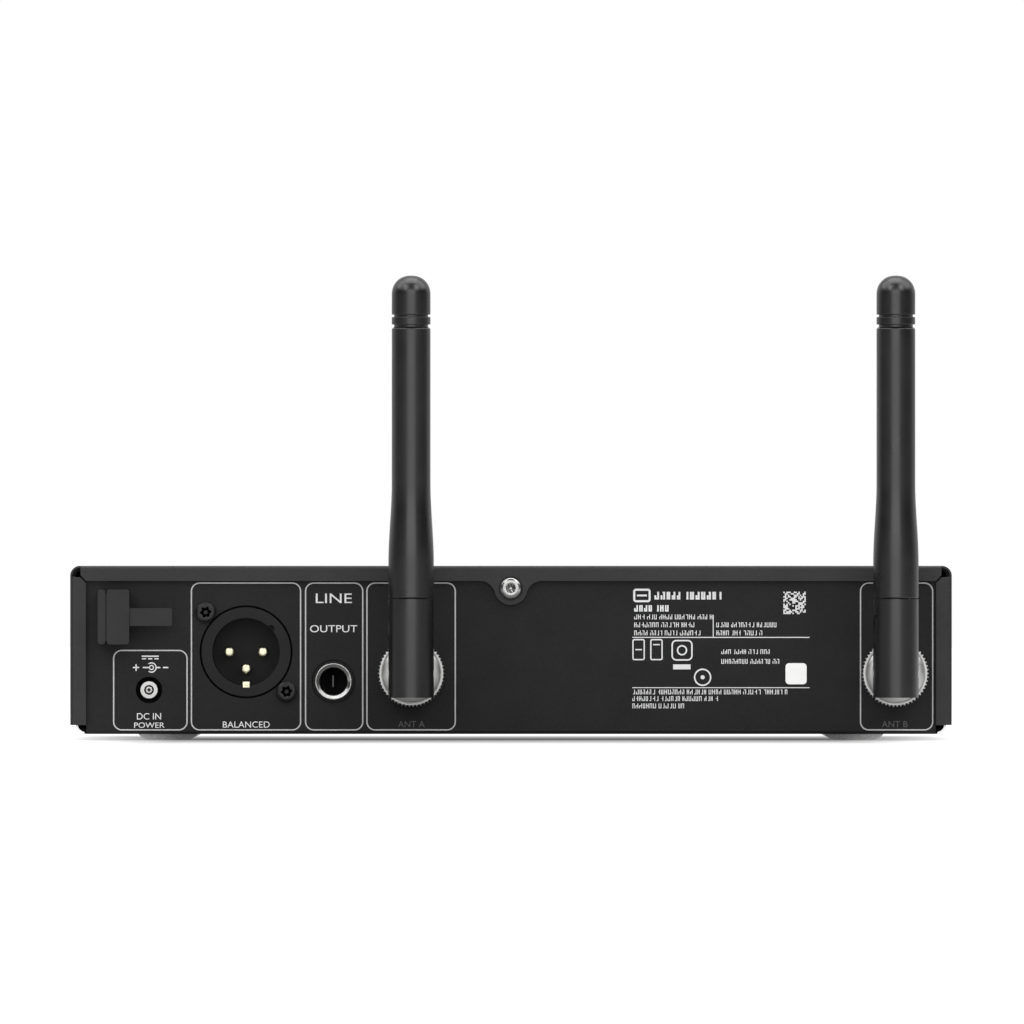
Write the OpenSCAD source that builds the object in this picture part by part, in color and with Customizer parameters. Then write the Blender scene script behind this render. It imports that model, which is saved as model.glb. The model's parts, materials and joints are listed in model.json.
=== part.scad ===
// Half-rack wireless microphone receiver with two folding rod antennas.
// Frame: +X to the right seen from the front, +Y towards the rear panel, +Z up.
// Origin: middle of the overall width and depth, on the surface that the feet stand on.

/* [Case] */
// Width of the case
case_w = 212; // [208:0.5:216]
// Depth from the bezel's front face to the rear flanges
case_d = 189; // [180:1:200]
// Height of the cover's top above the table
case_top = 41.9; // [41.5:0.1:43]
// Thickness of the steel sheet
sheet = 1.2; // [1:0.1:1.3]
// Outer radius of the bends along the case
bend_r = 2.4; // [2:0.1:3]
// Outer radius of the bends round the rear edge
edge_r = 0.9; // [0.6:0.1:1]

/* [Feet] */
// Height of a foot
foot_h = 1.45; // [1.2:0.05:2]
// Radius of a foot
foot_r = 7.1; // [5:0.1:8]
// Sideways distance from the middle to a foot
foot_x = 82.7; // [70:0.1:90]
// Distance from the middle of the case to a foot, front to back
foot_y = 70; // [50:1:78]

/* [Rear flanges] */
// Height of the top flange
flange_top = 3.65; // [3.5:0.05:4.5]
// Width of each side flange
flange_side = 3.8; // [3:0.1:4]
// Radius of the tongue round the cover's screw
tongue_r = 4; // [3.6:0.1:4.5]

/* [Front] */
// Depth of the bezel
bezel_d = 14; // [13:0.5:18]
// Height of the bezel
bezel_h = 41.15; // [41:0.05:42.5]
// Radius of the control knob
knob_r = 12; // [9:0.5:12.5]
// How far the knob stands out of the bezel
knob_reach = 12; // [10:0.5:16]
// Travel of a push button
key_travel = 0.8; // [0.4:0.1:0.8]
// Travel of the knob when pressed
push_travel = 0.6; // [0.3:0.1:0.6]

/* [Antennas] */
// Sideways places of the two antenna sockets
antenna_x = [23.95, -92.3]; // [-100:0.05:100]
// Height of the antenna sockets' axes
antenna_z = 16.05; // [15:0.05:17]
// Length of an antenna above its hinge
antenna_l = 95.45; // [80:0.05:110]
// Radius of an antenna's lower part
antenna_base_r = 5.45; // [5.2:0.05:5.6]
// Radius of an antenna's upper part
antenna_rod_r = 4.65; // [4:0.05:5]
// Radius of the coupling nut over its knurl
nut_r = 8.05; // [8:0.05:8.4]
// Number of teeth in the knurl
nut_teeth = 54; // [40:1:60]

/* [Hidden] */
$fn = 64;

// Colours
steel_black = [0.15, 0.15, 0.155];
plastic_black = [0.1, 0.1, 0.1];
rubber_grey = [0.35, 0.35, 0.35];
nickel = [0.78, 0.77, 0.74];
gold = [0.85, 0.75, 0.45];
board_green = [0.05, 0.25, 0.15];
white = [0.9, 0.9, 0.88];

// Places along the depth
antenna_reach = 25;
overall_d = knob_reach + case_d + antenna_reach;
front_y = knob_reach - overall_d / 2;
rear_y = front_y + case_d;
fit_gap = 0.1;
panel_y = rear_y - sheet - fit_gap;
panel_in = panel_y - sheet;
cover_front = front_y + bezel_d + 0.2;
middle_y = (front_y + rear_y) / 2;

// Case
half_w = case_w / 2;
notch = [half_w - bend_r - 0.1, case_top - bend_r - 0.2];
cover_low = 3.6;
tray_half = half_w - sheet - fit_gap;
tray_in = tray_half - sheet;
tray_side_z = 36;
floor_z = foot_h + sheet;
panel_half = tray_in - fit_gap;
panel_low_half = tray_half - 2.5;
relief_z = 4.5;
screw_x = 0.05;
screw_z = case_top - flange_top - 1.75;
rack_y = [front_y + 30, front_y + 60];
rack_z = 21;
rack_hole_r = 2;

// Boards
board_t = 1.6;
board_z = 6.4;
board_front = -70;
board_back = panel_in - 1;
board_half = 98;
post_x = [-90, 0, 90];
post_y = [-50, 40];

// Rear connectors: [x, z]
xlr = [63.7, 21.2];
xlr_hole_r = 8.1;
xlr_ring_r = 10.75;
xlr_gap = 0.45;
xlr_depth = 13;
xlr_screw = [9.72, 9.55];
pin_circle_r = 4.05;
jack = [42.7, 14.1];
jack_collar_r = 4.88;
jack_bore_r = 3.2;
jack_ferrule_r = 4.4;
dc = [87.05, 12.05];
dc_hole_r = 3.2;
hook = [91.7, 29.57];

// Front controls: [x, z]
power_at = [-91, 21.75];
sync_at = [44, 28.5];
escape_at = [44, 15];
knob_at = [80, 21.75];
key_size = [13, 6.5];
bezel_low = 0.75;
bezel_wall = 2;
bezel_face = 2.2;
window_low = [-72, 9.5];
window_size = [100, 25];
pipe_at = [[-91, 33], [57, 28.5]];

// Antennas, measured outwards from the rear panel's face
socket_r = 4.8;
hinge_u = rear_y + antenna_reach - antenna_base_r - panel_y;
hinge_clear_r = 5.9;
base_drop = 5.8;
base_rise = 17.83;
tongue_half = 2.2;
slot_half = 2.35;
hinge_pin_r = 1.1;

// ---- helpers ----
module block(low, high) {
    translate(low) cube(high - low);
}

// A cylinder along Y from y0 to y1, centred on [x, z]
module bar_y(r, y0, y1, at) {
    translate([at[0], y0, at[1]]) rotate([-90, 0, 0]) cylinder(r = r, h = y1 - y0);
}

// A cylinder along X from x0 to x1, centred on [y, z]
module bar_x(r, x0, x1, at) {
    translate([x0, at[0], at[1]]) rotate([0, 90, 0]) cylinder(r = r, h = x1 - x0);
}

// Children are drawn in X and Z, and fill y0 to y1
module slab_y(y0, y1) {
    translate([0, y1, 0]) rotate([90, 0, 0]) linear_extrude(y1 - y0) children();
}

// Children are drawn in Y and Z, and fill x0 to x1
module slab_x(x0, x1) {
    translate([x0, 0, 0]) rotate([90, 0, 90]) linear_extrude(x1 - x0) children();
}

// Children are a half profile of radius and length, turned about an axis along +Y
module turned_y(y0, at) {
    translate([at[0], y0, at[1]]) rotate([-90, 0, 0]) rotate_extrude() children();
}

module round_rect(low, size, r) {
    translate(low + [r, 0]) square(size - [2 * r, 0]);
    translate(low + [0, r]) square(size - [0, 2 * r]);
    for (x = [r, size[0] - r], z = [r, size[1] - r]) translate(low + [x, z]) circle(r);
}

// What is left of a square corner when it is rounded, for cutting away
module corner_waste(r) {
    difference() {
        square(r + 1);
        circle(r);
    }
}

// A rectangle from z0 to z1 whose two upper corners are round
module arch(half, z0, z1, r) {
    translate([-half, z0]) square([2 * half, z1 - z0 - r]);
    translate([r - half, z0]) square([2 * (half - r), z1 - z0]);
    for (s = [-1, 1]) translate([s * (half - r), z1 - r]) circle(r);
}

module mirror_x_pair() {
    for (s = [0, 1]) mirror([s, 0, 0]) children();
}

// ---- case ----
module cover_section() {
    difference() {
        arch(half_w, cover_low, case_top, bend_r);
        arch(half_w - sheet, cover_low - 1, case_top - sheet, bend_r - sheet);
    }
}

// The tongue hangs from the top flange: a round end that runs into the flange through two hollow fillets.
// The fillets are a little large, so that they cross what they blend instead of just touching it.
module tongue_outline() {
    fillet_r = 3.8;
    drop = case_top - flange_top - screw_z;
    fillet_x = sqrt(pow(tongue_r + fillet_r, 2) - pow(fillet_r - drop, 2));
    inside = 0.94 * tongue_r * [cos(32), -sin(32)];
    translate([screw_x, screw_z]) {
        circle(tongue_r);
        difference() {
            polygon([[-fillet_x, drop + 0.5], [fillet_x, drop + 0.5], inside, [-inside[0], inside[1]]]);
            for (s = [-1, 1]) translate([s * fillet_x, drop - fillet_r]) circle(fillet_r + 0.04);
        }
    }
}

module top_flange_outline() {
    half = notch[0];
    low = case_top - flange_top;
    mitre = 1.4;
    polygon([
        [-half, case_top], [half, case_top], [half, low + mitre],
        [half - mitre, low], [mitre - half, low], [-half, low + mitre]
    ]);
}

module side_flange_outline() {
    top = case_top - 2.7;
    mitre = 1.5;
    foot_cut = 0.7;
    inner = half_w - flange_side;
    polygon([
        [half_w, cover_low + foot_cut], [half_w, top], [inner + mitre, top],
        [inner, top - mitre], [inner, cover_low], [half_w - foot_cut, cover_low]
    ]);
}

// The part of a bend that is cut away to leave a thin rim: the bend's centre and the low corner of the cut
module thin_corner(centre, corner) {
    rim = 0.5;
    intersection() {
        translate(centre) circle(bend_r - rim);
        translate(corner) square(bend_r + 1);
    }
}

module top_cover() color(steel_black) {
    screw_seat = 0.5;
    difference() {
        union() {
            slab_y(cover_front, rear_y) cover_section();
            slab_y(rear_y - sheet, rear_y) {
                top_flange_outline();
                tongue_outline();
            }
            mirror_x_pair() slab_y(rear_y - sheet, rear_y) side_flange_outline();
        }
        slab_x(-notch[0] - 0.05, notch[0] + 0.05)
            translate([rear_y - edge_r, case_top - edge_r]) corner_waste(edge_r);
        mirror_x_pair() {
            linear_extrude(notch[1] + 0.05)
                translate([half_w - edge_r, rear_y - edge_r]) corner_waste(edge_r);
            slab_y(rear_y - sheet, rear_y + 1) translate(notch) square(bend_r + 1);
            slab_y(rear_y - 6, rear_y) thin_corner([half_w, case_top] - [bend_r, bend_r], notch);
        }
        bar_y(2.9, rear_y - screw_seat, rear_y + 1, [screw_x, screw_z]);
        bar_y(1.7, rear_y - 2 * sheet, rear_y, [screw_x, screw_z]);
        mirror_x_pair() rack_holes(half_w - 2 * sheet, half_w + 1);
    }
}

module rack_holes(x0, x1) {
    for (y = rack_y) bar_x(rack_hole_r, x0, x1, [y, rack_z]);
}

module tray_section() {
    translate([0, tray_side_z + foot_h]) mirror([0, 1]) difference() {
        arch(tray_half, 0, tray_side_z, bend_r);
        arch(tray_in, -1, tray_side_z - sheet, bend_r - sheet);
    }
}

module rear_panel_outline() {
    translate([-panel_low_half, foot_h]) square([2 * panel_low_half, relief_z]);
    translate([-panel_half, relief_z]) square([2 * panel_half, case_top - sheet - 0.2 - relief_z]);
}

module vent_slots() {
    slot_r = 1.2;
    slot_l = 24;
    for (i = [-7:7]) linear_extrude(floor_z + 1) translate([i * 6, -30]) {
        translate([-slot_r, 0]) square([2 * slot_r, slot_l]);
        for (y = [0, slot_l]) translate([0, y]) circle(slot_r);
    }
}

module base_tray() color(steel_black) {
    lip_z = 12;
    difference() {
        union() {
            slab_y(cover_front, panel_y - 0.5) tray_section();
            slab_y(panel_in, panel_y) rear_panel_outline();
            block([-panel_low_half, panel_in - 1, foot_h], [panel_low_half, panel_y, floor_z]);
            slab_y(cover_front, cover_front + sheet)
                translate([-tray_in, floor_z - 0.7]) square([2 * tray_in, lip_z - floor_z]);
        }
        slab_x(-panel_low_half - 0.05, panel_low_half + 0.05)
            translate([panel_y - edge_r, foot_h + edge_r]) mirror([0, 1]) corner_waste(edge_r);
        mirror_x_pair() {
            slab_y(panel_y - 5, panel_y) mirror([0, 1])
                thin_corner([tray_half - bend_r, -foot_h - bend_r], [panel_low_half + 0.06, -relief_z - 0.1]);
            block(
                [panel_low_half - 0.05, panel_in - 3, 0],
                [panel_low_half + 0.35, panel_y + 1, floor_z + 0.8]
            );
        }
        bar_y(xlr_ring_r + xlr_gap, panel_in - 1, panel_y + 1, xlr);
        for (s = [-1, 1]) bar_y(1.6, panel_in - 1, panel_y + 1, xlr + s * xlr_screw);
        bar_y(jack_collar_r + 0.37, panel_in - 1, panel_y + 1, jack);
        bar_y(dc_hole_r, panel_in - 1, panel_y + 1, dc);
        for (x = antenna_x) bar_y(socket_r + 0.15, panel_in - 1, panel_y + 1, [x, antenna_z]);
        bar_y(1.7, panel_in - 1, panel_y + 1, [screw_x, screw_z]);
        hook_legs(panel_y + 1, 0.1);
        for (x = bezel_screw_x) bar_y(1.7, cover_front - 1, cover_front + 2 * sheet, [x, bezel_screw_z]);
        mirror_x_pair() rack_holes(tray_in - 1, tray_half + 1);
        vent_slots();
    }
}

module feet() color(rubber_grey) {
    profile = [
        [0, 0], [foot_r - 1.9, 0], [foot_r - 1.1, 0.3 * foot_h], [foot_r - 0.4, 0.6 * foot_h],
        [foot_r, 0.85 * foot_h], [foot_r, foot_h], [0, foot_h]
    ];
    for (x = [-foot_x, foot_x], y = [-foot_y, foot_y])
        translate([x, middle_y + y, 0]) rotate_extrude() polygon(profile);
}

module press_nuts() color(nickel) {
    mirror_x_pair() for (y = rack_y) difference() {
        bar_x(4, tray_in - 2.5, tray_in, [y, rack_z]);
        bar_x(rack_hole_r, tray_in - 3, tray_in + 1, [y, rack_z]);
    }
    difference() {
        bar_y(3, panel_in - 3, panel_in, [screw_x, screw_z]);
        bar_y(1.55, panel_in - 4, panel_in + 1, [screw_x, screw_z]);
    }
}

module blank_sticker() color(white) {
    slab_y(panel_y, panel_y + 0.12) round_rect([-71.1, 13.4], [5.1, 5.1], 0.9);
}

// A screw along Y, its head towards +Y: the head starts at y and the shank runs inwards from it
module pan_screw(at, y, head_r, head_h, shank_r, shank_l) {
    difference() {
        union() {
            turned_y(y, at) {
                square([head_r, head_h - 0.9]);
                square([head_r - 0.9, head_h]);
                intersection() {
                    translate([head_r - 0.9, head_h - 0.9]) circle(0.9);
                    square([head_r, head_h]);
                }
            }
            bar_y(shank_r, y - shank_l, y + 0.1, at);
        }
        slab_y(y + head_h - 1.1, y + head_h + 1) translate(at) children();
    }
}

// The four-winged star of a cross recess
module cross_recess() {
    for (turn = [0, 90]) rotate(turn + 15) square([2.7, 0.75], center = true);
    for (turn = [0, 90]) rotate(turn + 60) square([1.9, 0.35], center = true);
}

// The six-lobed recess
module lobe_recess() {
    circle(1.0);
    for (i = [0:5]) rotate(i * 60) translate([1.0, 0]) circle(0.32);
}

module cover_screw() color(nickel) {
    pan_screw([screw_x, screw_z], rear_y - 0.5, 2.5, 1.9, 1.5, 7) cross_recess();
}

// ---- front ----
bezel_screw_x = [-60, 0, 60];
bezel_screw_z = 7;
front_post_x = [-97, 97];
front_post_z = [14.5, 36];
front_board_u = 9.4;
stem_end_u = 7.5;

// A distance u behind the bezel's front face
function at_u(u) = front_y + u;

module bezel_outer() {
    round = 1.6;
    high = bezel_low + bezel_h;
    intersection() {
        slab_y(at_u(0), at_u(bezel_d)) round_rect([-half_w, bezel_low], [case_w, bezel_h], bend_r);
        linear_extrude(high + 1) difference() {
            translate([-half_w, at_u(0)]) square([case_w, bezel_d]);
            for (s = [0, 1]) mirror([s, 0])
                translate([half_w - round, at_u(round)]) mirror([0, 1]) corner_waste(round);
        }
        slab_x(-half_w, half_w) difference() {
            translate([at_u(0), bezel_low]) square([bezel_d, bezel_h]);
            translate([at_u(round), high - round]) mirror([1, 0]) corner_waste(round);
            translate([at_u(round), bezel_low + round]) rotate(180) corner_waste(round);
        }
    }
}

module key_outline(at, grow) {
    round_rect(at - key_size / 2 - [grow, grow], key_size + 2 * [grow, grow], 1.6 + grow);
}

module front_bezel() color(plastic_black) {
    dish_u = 2.6;
    difference() {
        union() {
            difference() {
                bezel_outer();
                block(
                    [bezel_wall - half_w, at_u(bezel_face), bezel_low + bezel_wall],
                    [half_w - bezel_wall, at_u(bezel_d + 1), bezel_low + bezel_h - bezel_wall]
                );
            }
            for (x = bezel_screw_x) bar_y(3, at_u(bezel_face) - 0.1, at_u(bezel_d), [x, bezel_screw_z]);
            for (x = front_post_x, z = front_post_z)
                bar_y(2.6, at_u(bezel_face) - 0.1, at_u(front_board_u), [x, z]);
            bar_y(knob_r + 2.6, at_u(bezel_face) - 0.1, at_u(dish_u + 1), knob_at);
        }
        slab_y(at_u(-1), at_u(1.5)) round_rect(window_low - [0.15, 0.15], window_size + [0.3, 0.3], 2.15);
        slab_y(at_u(0), at_u(4)) round_rect(window_low + [3, 2.5], window_size - [6, 5], 1);
        bar_y(knob_r + 1.2, at_u(-1), at_u(dish_u), knob_at);
        bar_y(4.7, at_u(0), at_u(6), knob_at);
        bar_y(5.2, at_u(-1), at_u(4), power_at);
        for (at = [sync_at, escape_at]) slab_y(at_u(-1), at_u(4)) key_outline(at, 0.2);
        for (at = pipe_at) slab_y(at_u(-1), at_u(4)) pipe_outline(at, 0.1);
        for (x = bezel_screw_x) bar_y(1.25, at_u(5), at_u(bezel_d + 1), [x, bezel_screw_z]);
        for (x = front_post_x, z = front_post_z) bar_y(1.05, at_u(4), at_u(bezel_d), [x, z]);
    }
}

module pipe_outline(at, grow) {
    round_rect(at - [3 + grow, 0.9 + grow], [6 + 2 * grow, 1.8 + 2 * grow], 0.85);
}

module bezel_screws() color(nickel) {
    for (x = bezel_screw_x) {
        bar_y(1.2, at_u(7), cover_front + sheet + 0.1, [x, bezel_screw_z]);
        bar_y(2.6, cover_front + sheet, cover_front + sheet + 1.6, [x, bezel_screw_z]);
    }
    for (x = front_post_x, z = front_post_z) {
        bar_y(1, at_u(5), at_u(front_board_u + board_t) + 0.1, [x, z]);
        bar_y(2, at_u(front_board_u + board_t), at_u(front_board_u + board_t + 1.2), [x, z]);
    }
}

module display_window() color([0.03, 0.03, 0.04]) {
    slab_y(at_u(0.05), at_u(1.45)) round_rect(window_low, window_size, 2);
}

module display_module() color([0.2, 0.2, 0.22]) {
    block(
        [window_low[0] + 4, at_u(1.6), window_low[1] + 3.2],
        [window_low[0] + window_size[0] - 4, at_u(6.5), window_low[1] + window_size[1] - 3.2]
    );
}

module status_light_pipes() color(white) {
    for (at = pipe_at) slab_y(at_u(-0.1), at_u(front_board_u - 0.6)) pipe_outline(at, 0);
}

module front_board() color(board_green) {
    difference() {
        block([-99.5, at_u(front_board_u), 12], [99.5, at_u(front_board_u + board_t), 39.4]);
        for (x = front_post_x, z = front_post_z) bar_y(1.15, at_u(8), at_u(12), [x, z]);
    }
}

module key_switches() color([0.25, 0.25, 0.25]) {
    body = 3.1;
    for (at = [power_at, sync_at, escape_at]) difference() {
        slab_y(at_u(6.4), at_u(front_board_u)) translate(at) square(2 * body, center = true);
        bar_y(1.7, at_u(6), at_u(stem_end_u + key_travel + 0.1), at);
    }
}

// Each cap has a rim that keeps it in the bezel and a stem that runs into its switch
module key_stem(at) {
    bar_y(1.5, at_u(3.3), at_u(stem_end_u), at);
}

module power_button() color([0.3, 0.3, 0.3]) {
    bar_y(5, at_u(-1.2), at_u(2.5), power_at);
    bar_y(6.2, at_u(2.4), at_u(3.4), power_at);
    key_stem(power_at);
}

module oblong_button(at) {
    slab_y(at_u(-1.2), at_u(2.5)) key_outline(at, 0);
    slab_y(at_u(2.4), at_u(3.4)) key_outline(at, 1);
    key_stem(at);
}

module sync_button() color([0.3, 0.3, 0.3]) {
    oblong_button(sync_at);
}

module escape_button() color([0.3, 0.3, 0.3]) {
    oblong_button(escape_at);
}

module encoder_body() color([0.55, 0.55, 0.55]) {
    half = 6.75;
    difference() {
        union() {
            slab_y(at_u(3.8), at_u(front_board_u)) translate(knob_at) square(2 * half, center = true);
            bar_y(4.4, at_u(0), at_u(3.9), knob_at);
        }
        bar_y(3.05, at_u(-1), at_u(5), knob_at);
        bar_y(4.9, at_u(4.6), at_u(8.6), knob_at);
    }
}

module encoder_push_plate() color(white) {
    bar_y(4.6, at_u(6.2), at_u(7.6), knob_at);
}

module d_section(r) {
    intersection() {
        circle(r);
        translate([-r, -r]) square([2 * r, 1.5 * r + r - 0.05]);
    }
}

module encoder_shaft() color(nickel) {
    bar_y(3, at_u(-2), at_u(5), knob_at);
    bar_y(4.3, at_u(4.9), at_u(6.1), knob_at);
    slab_y(at_u(-knob_reach + 3), at_u(-1.9)) translate(knob_at) d_section(3);
}

module control_knob() color(plastic_black) {
    flutes = 36;
    front = -knob_reach;
    difference() {
        turned_y(at_u(front), knob_at) {
            translate([0, 1.2]) square([knob_r, knob_reach]);
            square([knob_r - 1.2, 3]);
            intersection() {
                translate([knob_r - 1.2, 1.2]) circle(1.2);
                square([knob_r, 2]);
            }
        }
        for (i = [0:flutes - 1]) translate([knob_at[0], 0, knob_at[1]]) rotate([0, i * 360 / flutes, 0])
            bar_y(0.45, at_u(front + 2.2), at_u(front + 10.4), [knob_r + 0.2, 0]);
        bar_y(knob_r - 2.4, at_u(front - 1), at_u(front + 0.5), knob_at);
        slab_y(at_u(front + 2.8), at_u(-1.8)) translate(knob_at) d_section(3.05);
        bar_y(3.1, at_u(-2.2), at_u(3), knob_at);
        bar_y(5, at_u(-push_travel - 0.4), at_u(3), knob_at);
    }
}

// ---- inside ----
module ribbon_cable() color([0.85, 0.83, 0.75]) {
    half = 10;
    t = 0.3;
    bend = 4;
    z = 20;
    y = -64;
    block([-half, at_u(front_board_u + board_t + 2.5), z - t], [half, y - bend, z]);
    translate([-half, y - bend, z - bend]) rotate([90, 0, 90]) rotate_extrude(angle = 90)
        translate([bend - t, 0]) square([t, 2 * half]);
    block([-half, y - t, board_z + 3], [half, y, z - bend]);
}

module main_board() color(board_green) {
    difference() {
        block([-board_half, board_front, board_z - board_t], [board_half, board_back, board_z]);
        for (x = post_x, y = post_y) translate([x, y, 0]) cylinder(r = 1.6, h = 10);
    }
}

module board_standoffs() color(nickel) {
    for (x = post_x, y = post_y) translate([x, y, floor_z]) difference() {
        cylinder(r = 3, h = board_z - board_t - floor_z);
        translate([0, 0, 0.6]) cylinder(r = 1.5, h = 5);
    }
}

module board_screws() color(nickel) {
    for (x = post_x, y = post_y) translate([x, y, board_z]) {
        cylinder(r = 2.8, h = 1.8);
        translate([0, 0, -2.9]) cylinder(r = 1.45, h = 3);
    }
}

module board_connectors() color(white) {
    u = front_board_u + board_t;
    difference() {
        block([-12, at_u(u), 17.5], [12, at_u(u + 4), 22.5]);
        block([-10.2, at_u(u + 2.3), 19.5], [10.2, at_u(u + 5), 20.2]);
    }
    difference() {
        block([-12, -66.5, board_z], [12, -61.5, board_z + 5]);
        block([-10.2, -64.5, board_z + 2.8], [10.2, -63.8, board_z + 6]);
    }
}

module rf_shield_cans() color([0.72, 0.72, 0.7]) {
    wall = 0.4;
    size = [27, 30, 5];
    for (x = [5, -80]) translate([x, 24, board_z]) difference() {
        cube(size);
        translate([wall, wall, -wall]) cube(size - [2 * wall, 2 * wall, 0]);
    }
}

module board_chips() color([0.08, 0.08, 0.08]) {
    for (c = [[-40, 0, 14], [-12, 8, 10], [50, -20, 12], [20, -20, 8], [-60, -40, 9], [60, 10, 7]])
        translate([c[0], c[1], board_z]) cube([c[2], c[2], 1.2]);
}

// Upright cans of radius r, in proportion
module capacitors(places, r) {
    for (at = places) translate([at[0], at[1], board_z]) cylinder(r = r, h = 2.4 * r);
}

module board_capacitors() color([0.2, 0.2, 0.3]) {
    large = [[82, 50], [82, 38]];
    middle = [[72, 50], [72, 40], [30, -45], [40, -45]];
    small = [[55, 40], [48, 40]];
    capacitors(large, 4);
    capacitors(middle, 3.2);
    capacitors(small, 2.5);
}

// ---- rear connectors ----
module xlr_housing() color(plastic_black) {
    face = panel_y - 0.1;
    floor_y = face - xlr_depth;
    difference() {
        union() {
            bar_y(xlr_ring_r, panel_in - 1, face, xlr);
            difference() {
                block(
                    [xlr[0] - 12.9, floor_y - 7, board_z + 1.5],
                    [xlr[0] + 12.9, panel_in - 0.1, xlr[1] + 13]
                );
                difference() {
                    bar_y(xlr_ring_r + xlr_gap, panel_in - 6, panel_in, xlr);
                    bar_y(xlr_ring_r, panel_in - 7, panel_in + 1, xlr);
                }
            }
        }
        bar_y(xlr_hole_r, floor_y, face + 1, xlr);
        bar_y(0.8, face - 3, face + 1, xlr + [-6, 5.6]);
        for (at = xlr_pin_places) bar_y(1.22, floor_y - 5, floor_y + 1, at);
        for (s = [-1, 1]) bar_y(1.5, face - 9, face + 1, xlr + s * xlr_screw);
        block([xlr[0] - 0.95, face - 10, xlr[1] - 8.75], [xlr[0] + 0.95, face + 1, xlr[1] - 6.9]);
    }
}

xlr_pin_places = [for (angle = [0, 180, 270]) xlr + pin_circle_r * [cos(angle), sin(angle)]];

module xlr_pins() color(gold) {
    r = 1.2;
    tip = 0.8;
    from = panel_y - 0.1 - xlr_depth - 4.8;
    length = xlr_depth + 4.8 - 2.2;
    for (at = xlr_pin_places) turned_y(from, at) {
        square([r, length - tip]);
        square([r - tip, length]);
        intersection() {
            translate([r - tip, length - tip]) circle(tip);
            square([r, length]);
        }
    }
}

module xlr_ground_contact() color(gold) {
    face = panel_y - 0.1;
    block([xlr[0] - 0.85, face - 9.8, xlr[1] - 8.65], [xlr[0] + 0.85, face - 0.6, xlr[1] - 8]);
    block([xlr[0] - 0.85, face - 4.5, xlr[1] - 8.1], [xlr[0] + 0.85, face - 1.4, xlr[1] - 7.15]);
}

module xlr_screws() color([0.06, 0.06, 0.06]) {
    for (s = [-1, 1]) pan_screw(xlr + s * xlr_screw, panel_y, 2.45, 1.9, 1.45, 8) lobe_recess();
}

module jack_housing() color(plastic_black) {
    face = panel_y - 0.1;
    difference() {
        union() {
            block([jack[0] - 7.7, 55, board_z], [jack[0] + 7.7, panel_in - 0.1, jack[1] + 7.5]);
            bar_y(jack_collar_r, panel_in - 1, face, jack);
        }
        bar_y(jack_ferrule_r + 0.05, 78.5, face + 1, jack);
        bar_y(4.2, 58, 80, jack);
    }
}

module jack_ferrule() color(nickel) {
    proud = 1.2;
    back = 78.5;
    length = panel_y + proud - back;
    lip = 0.35;
    turned_y(back, jack) difference() {
        union() {
            translate([jack_bore_r - 0.5, 0]) square([jack_ferrule_r - jack_bore_r + 0.5, length - lip]);
            translate([jack_bore_r - 0.5, 0]) square([jack_ferrule_r - jack_bore_r + 0.5 - lip, length]);
            translate([jack_ferrule_r - lip, length - lip]) circle(lip);
        }
        square([jack_bore_r, length + 1]);
        polygon([
            [jack_bore_r - 1, length - 1.9], [jack_ferrule_r - 0.3, length],
            [jack_ferrule_r - 0.3, length + 1], [0, length + 1]
        ]);
    }
}

module jack_springs() color([0.6, 0.6, 0.58]) {
    block([jack[0] + 0.05, 58.2, jack[1] - 1.4], [jack[0] + 0.4, 66, jack[1] + 1.4]);
    for (s = [-1, 1]) slab_y(60, 76) translate(jack + [s * 3.5, 0]) square([0.4, 2.4], center = true);
}

module dc_housing() color(plastic_black) {
    difference() {
        block([dc[0] - 6, 71, board_z], [dc[0] + 6, panel_in - 0.1, dc[1] + 5.4]);
        bar_y(dc_hole_r, 75, panel_in + 1, dc);
        bar_y(0.9, 72.5, 76, dc);
    }
}

module dc_sleeve() color(nickel) {
    difference() {
        bar_y(2.12, 75, panel_y - 0.8, dc);
        bar_y(1.18, 74, panel_y + 1, dc);
    }
}

module dc_pin() color(nickel) {
    difference() {
        bar_y(0.88, 72.6, panel_y - 0.9, dc);
        bar_y(0.4, panel_y - 3, panel_y + 1, dc);
    }
}

// The two legs that pass through the panel, from inside it to y, grown by a clearance
module hook_legs(y, grow) {
    size = [3, 4] + 2 * [grow, grow];
    for (s = [-1, 1]) slab_y(panel_in - 2.5, y) translate(hook + [4, s * 3.6]) square(size, center = true);
}

// A post that stands off the panel, ridged along its outer side, with a finger half way up its inner side
// that holds the power lead against the panel
module cable_hook() color(plastic_black) {
    post_w = 5.4;
    post_u = 8.4;
    half_h = 6.58;
    ridge_gap = 0.3;
    ridge_w = 1.9;
    ridge_u = 7.9;
    gap_u = 7.65;
    finger_l = 10.3;
    finger_half = 2.14;
    finger_u = [4.6, 7.6];
    slab_y(panel_y, panel_y + post_u) round_rect([hook[0], hook[1] - half_h], [post_w, 2 * half_h], 0.7);
    slab_y(panel_y, panel_y + ridge_u)
        round_rect([hook[0] + post_w + ridge_gap, hook[1] - half_h], [ridge_w, 2 * half_h], 0.8);
    slab_y(panel_y, panel_y + gap_u)
        translate([hook[0] + post_w - 1, hook[1] - half_h + 0.9]) square([ridge_gap + 2, 2 * half_h - 1.8]);
    slab_y(panel_y + finger_u[0], panel_y + finger_u[1])
        round_rect(hook - [finger_l, finger_half], [finger_l + 2, 2 * finger_half], 0.5);
    hook_legs(panel_y + 0.1, 0);
}

// ---- antenna sockets ----
// A distance u outwards from the rear panel's face
function out_u(u) = panel_y + u;

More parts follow.
